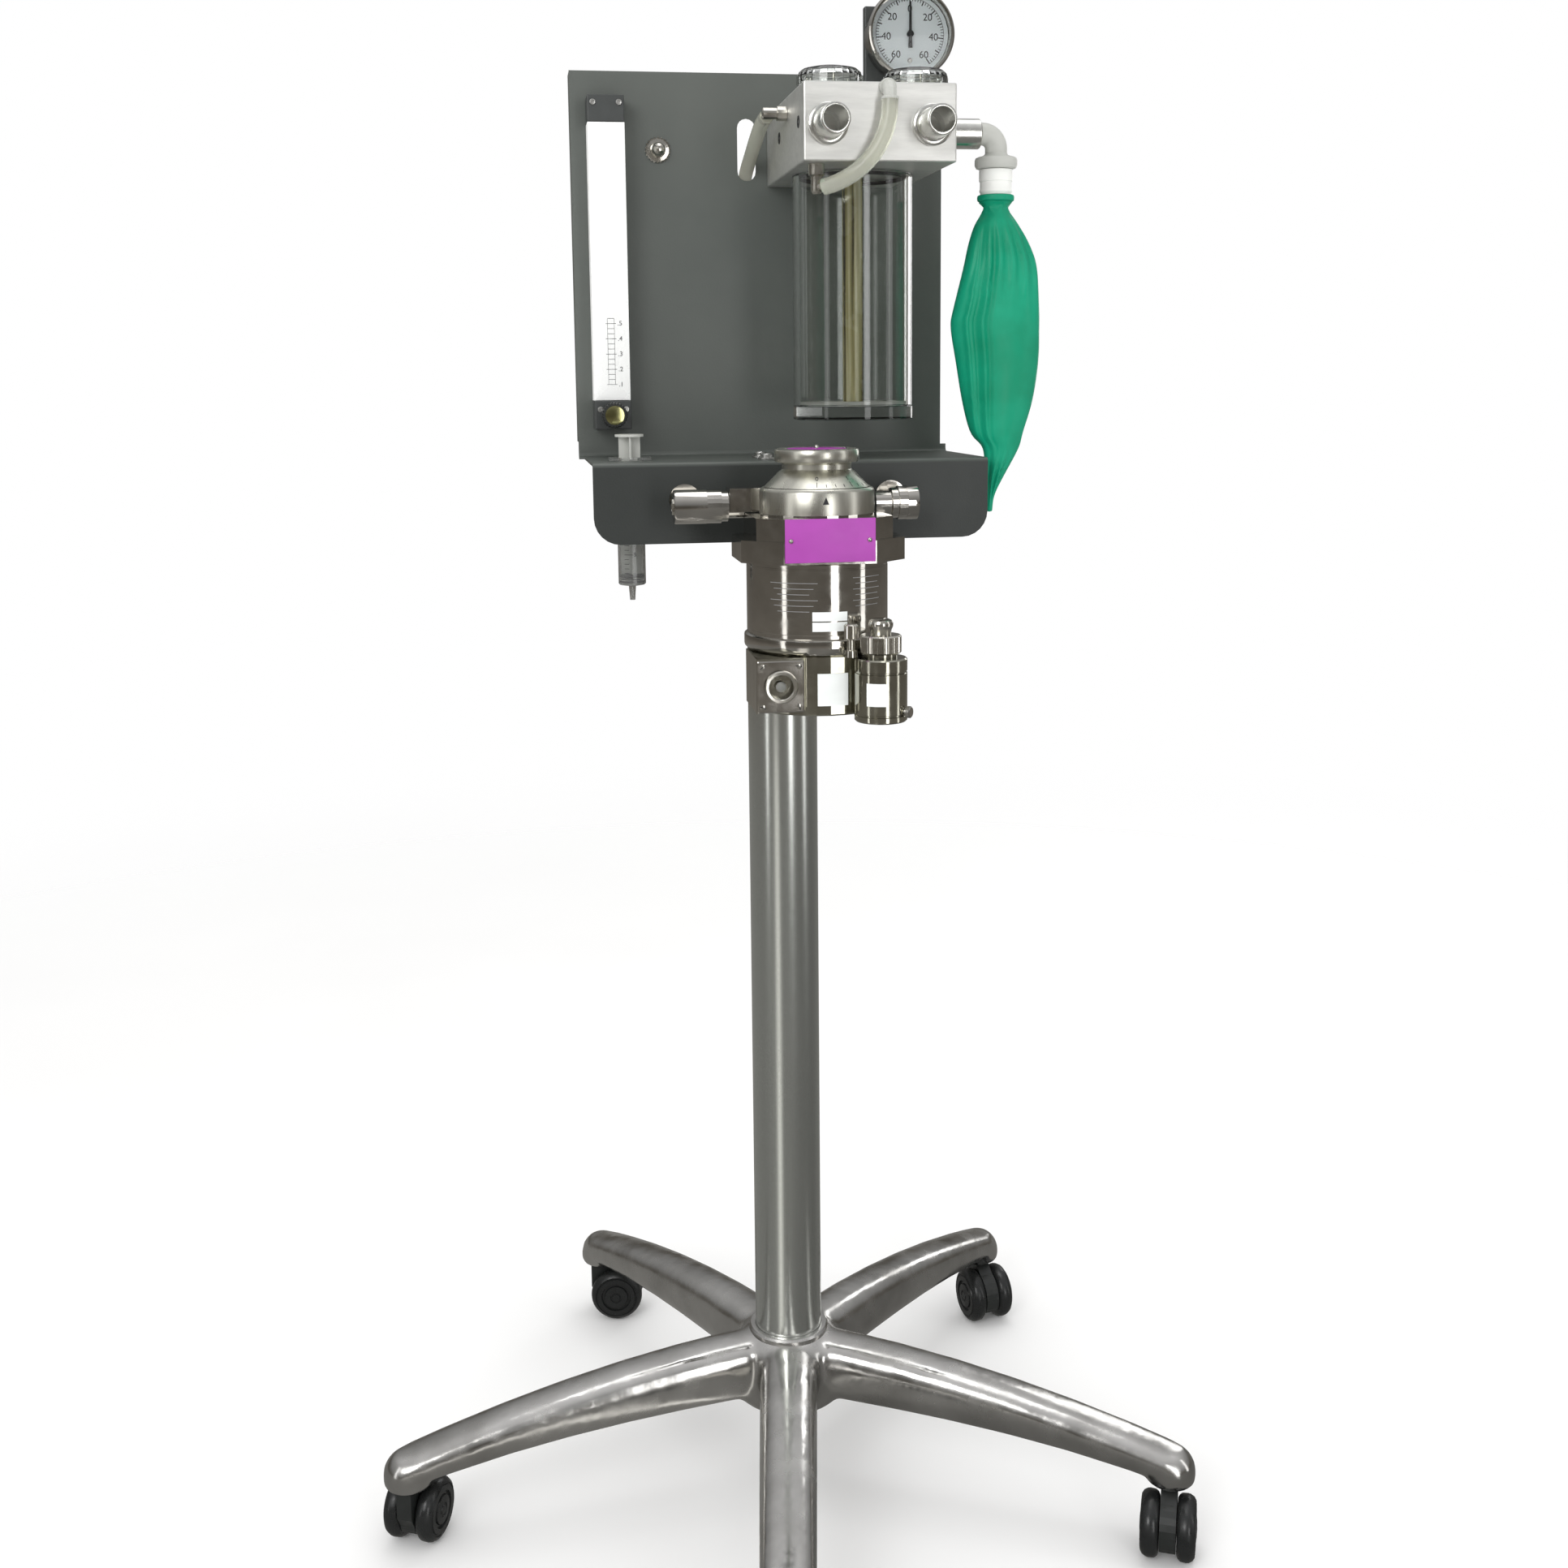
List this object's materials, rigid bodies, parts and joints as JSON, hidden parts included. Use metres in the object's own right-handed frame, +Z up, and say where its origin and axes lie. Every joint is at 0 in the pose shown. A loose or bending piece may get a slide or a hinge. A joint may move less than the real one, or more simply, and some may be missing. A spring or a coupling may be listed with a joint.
{
  "type": "anesthesia machine",
  "caption": "Small-animal anesthesia machine: flowmeter, absorber head with canister and green breathing bag, and vaporizer on a bent-sheet panel on a star base with casters.",
  "frame": {"origin": "bottom centre of the bounding box, on the floor under the casters", "axes": "+Z up along the column, -Y towards the user who faces the vaporizer, +X to that user's right, the breathing bag's side"},
  "size_m": [0.6416, 0.6418, 1.2113],
  "materials": {
    "aged_clear_plastic": "translucent",
    "black_plastic": "satin",
    "chrome": "polished",
    "clear_acrylic": "clear",
    "dark_grey_bracket": "matte",
    "dark_powder_coat": "matte",
    "dial_face": "matte",
    "green_rubber": "satin",
    "milky_plastic": "translucent",
    "polished_cast_aluminium": "polished",
    "purple_label": "satin",
    "satin_aluminium": "satin",
    "white_plastic": "gloss",
    "zinc_plated_steel": "satin"
  },
  "bodies": {
    "stand": {"star_base": "polished_cast_aluminium", "column_top_plate": "zinc_plated_steel", "column_tube": "satin_aluminium", "mounting_sheet": "dark_powder_coat", "panel_nut": "chrome", "shelf_screw": "chrome", "flowmeter_base": "black_plastic", "flowmeter_tube": "clear_acrylic", "flowmeter_cap": "black_plastic", "absorber_block": "satin_aluminium", "inhale_port": "satin_aluminium", "exhale_port": "satin_aluminium", "bag_port": "satin_aluminium", "hose_elbow": "milky_plastic", "hose_barb": "chrome", "side_barb": "chrome", "rear_outlet_barb": "chrome", "loop_hose": "aged_clear_plastic", "fresh_gas_hose": "aged_clear_plastic", "manometer_case": "chrome", "manometer_dial": "dial_face", "manometer_lens": "clear_acrylic", "manometer_post": "dark_grey_bracket", "vaporizer_crown": "chrome", "vaporizer_label": "purple_label", "vaporizer_body": "chrome", "vaporizer_lower_body": "chrome", "sight_glass_plate": "chrome", "vaporizer_filler_block": "chrome", "vaporizer_left_port": "chrome", "vaporizer_right_port": "chrome"},
    "caster_swivel_1": {"caster_hood_1": "black_plastic"},
    "caster_wheels_1": {"caster_wheels_1": "black_plastic"},
    "caster_swivel_2": {"caster_hood_2": "black_plastic"},
    "caster_wheels_2": {"caster_wheels_2": "black_plastic"},
    "caster_swivel_3": {"caster_hood_3": "black_plastic"},
    "caster_wheels_3": {"caster_wheels_3": "black_plastic"},
    "caster_swivel_4": {"caster_hood_4": "black_plastic"},
    "caster_wheels_4": {"caster_wheels_4": "black_plastic"},
    "caster_swivel_5": {"caster_hood_5": "black_plastic"},
    "caster_wheels_5": {"caster_wheels_5": "black_plastic"},
    "brake_lever": {"caster_brake_lever": "black_plastic"},
    "flow_float": {"flowmeter_float": "black_plastic"},
    "flow_knob": {"flowmeter_knob": "aged_clear_plastic"},
    "syringe": {"syringe_barrel": "milky_plastic"},
    "plunger": {"syringe_plunger": "black_plastic"},
    "inhale_dome": {"inhale_valve_dome": "clear_acrylic"},
    "inhale_disc": {"inhale_valve_disc": "aged_clear_plastic"},
    "exhale_dome": {"exhale_valve_dome": "clear_acrylic"},
    "exhale_disc": {"exhale_valve_disc": "aged_clear_plastic"},
    "canister": {"canister_tube": "clear_acrylic", "canister_base": "clear_acrylic", "canister_inner_tube": "aged_clear_plastic"},
    "elbow": {"bag_elbow": "milky_plastic"},
    "bag": {"bag_connector": "white_plastic", "breathing_bag": "green_rubber"},
    "pointer": {"manometer_needle": "black_plastic"},
    "dial": {"vaporizer_dial": "satin_aluminium"},
    "filler_cap": {"vaporizer_filler_cap": "chrome"},
    "drain_screw": {"vaporizer_drain_screw": "chrome"}
  },
  "joints": [
    {"name": "caster_1_swivel", "type": "hinge", "parent": "stand", "child": "caster_swivel_1", "pos_m": [-0.03631, -0.30091, 0], "axis": [0, 0, 1], "continuous": true},
    {"name": "caster_1_roll", "type": "hinge", "parent": "caster_swivel_1", "child": "caster_wheels_1", "pos_m": [-0.03371, -0.28614, 0.025], "axis": [-0.9848, 0.1736, 0], "continuous": true},
    {"name": "caster_2_swivel", "type": "hinge", "parent": "stand", "child": "caster_swivel_2", "pos_m": [0.29866, -0.1339, 0], "axis": [0, 0, 1], "continuous": true},
    {"name": "caster_2_roll", "type": "hinge", "parent": "caster_swivel_2", "child": "caster_wheels_2", "pos_m": [0.29256, -0.1476, 0.025], "axis": [0.9135, -0.4067, 0], "continuous": true},
    {"name": "caster_3_swivel", "type": "hinge", "parent": "stand", "child": "caster_swivel_3", "pos_m": [0.24334, 0.23629, 0], "axis": [0, 0, 1], "continuous": true},
    {"name": "caster_3_roll", "type": "hinge", "parent": "caster_swivel_3", "child": "caster_wheels_3", "pos_m": [0.24594, 0.22152, 0.025], "axis": [0.9848, 0.1736, 0], "continuous": true},
    {"name": "caster_4_swivel", "type": "hinge", "parent": "stand", "child": "caster_swivel_4", "pos_m": [-0.12583, 0.29807, 0], "axis": [0, 0, 1], "continuous": true},
    {"name": "caster_4_roll", "type": "hinge", "parent": "caster_swivel_4", "child": "caster_wheels_4", "pos_m": [-0.11102, 0.29572, 0.025], "axis": [0.1564, 0.9877, 0], "continuous": true},
    {"name": "caster_5_swivel", "type": "hinge", "parent": "stand", "child": "caster_swivel_5", "pos_m": [-0.29866, -0.03394, 0], "axis": [0, 0, 1], "continuous": true},
    {"name": "caster_5_roll", "type": "hinge", "parent": "caster_swivel_5", "child": "caster_wheels_5", "pos_m": [-0.29256, -0.02024, 0.025], "axis": [-0.9135, 0.4067, 0], "continuous": true},
    {"name": "brake_press", "type": "hinge", "parent": "caster_swivel_4", "child": "brake_lever", "pos_m": [-0.09892, 0.2938, 0.04622], "axis": [0.1564, 0.9877, 0], "range_deg": [0, 8]},
    {"name": "float_rise", "type": "slide", "parent": "stand", "child": "flow_float", "axis": [0, 0, 1], "range_m": [0, 0.195]},
    {"name": "flow_knob_turn", "type": "hinge", "parent": "stand", "child": "flow_knob", "pos_m": [-0.10926, 0.06792, 0.89425], "axis": [0, -1, 0], "range_deg": [0, 1440]},
    {"name": "syringe_lift", "type": "slide", "parent": "stand", "child": "syringe", "axis": [0, 0, 1], "range_m": [0, 0.115]},
    {"name": "plunger_pull", "type": "slide", "parent": "syringe", "child": "plunger", "axis": [0, 0, 1], "range_m": [0, 0.085]},
    {"name": "inhale_dome_unscrew", "type": "hinge", "parent": "stand", "child": "inhale_dome", "pos_m": [0.04574, -0.04688, 1.1313], "axis": [0, 0, 1], "range_deg": [0, 720]},
    {"name": "inhale_disc_lift", "type": "slide", "parent": "stand", "child": "inhale_disc", "axis": [0, 0, 1], "range_m": [0, 0.003]},
    {"name": "exhale_dome_unscrew", "type": "hinge", "parent": "stand", "child": "exhale_dome", "pos_m": [0.10974, -0.04688, 1.1313], "axis": [0, 0, 1], "range_deg": [0, 720]},
    {"name": "exhale_disc_lift", "type": "slide", "parent": "stand", "child": "exhale_disc", "axis": [0, 0, 1], "range_m": [0, 0.003]},
    {"name": "canister_unscrew", "type": "hinge", "parent": "stand", "child": "canister", "pos_m": [0.07444, 0.01312, 0], "axis": [0, 0, 1], "range_deg": [0, 360]},
    {"name": "elbow_swing", "type": "hinge", "parent": "stand", "child": "elbow", "pos_m": [0.01624, -0.00688, 1.1046], "axis": [1, 0, 0], "range_deg": [-90, 15]},
    {"name": "bag_turn", "type": "hinge", "parent": "elbow", "child": "bag", "pos_m": [0.18254, -0.00688, 1.1046], "axis": [0, 0, 1], "range_deg": [-90, 90]},
    {"name": "pointer_sweep", "type": "hinge", "parent": "stand", "child": "pointer", "pos_m": [0.11674, -0.00038, 1.1781], "axis": [0, -1, 0], "range_deg": [-144, 144]},
    {"name": "dial_turn", "type": "hinge", "parent": "stand", "child": "dial", "pos_m": [0.02474, -0.09948, 0], "axis": [0, 0, 1], "range_deg": [0, 270]},
    {"name": "filler_cap_unscrew", "type": "hinge", "parent": "stand", "child": "filler_cap", "pos_m": [0.05874, -0.15948, 0], "axis": [0, 0, 1], "range_deg": [0, 1080]},
    {"name": "drain_unscrew", "type": "hinge", "parent": "stand", "child": "drain_screw", "pos_m": [0.07386, -0.17082, 0.691], "axis": [0.8, -0.6, 0], "range_deg": [0, 720]}
  ]
}
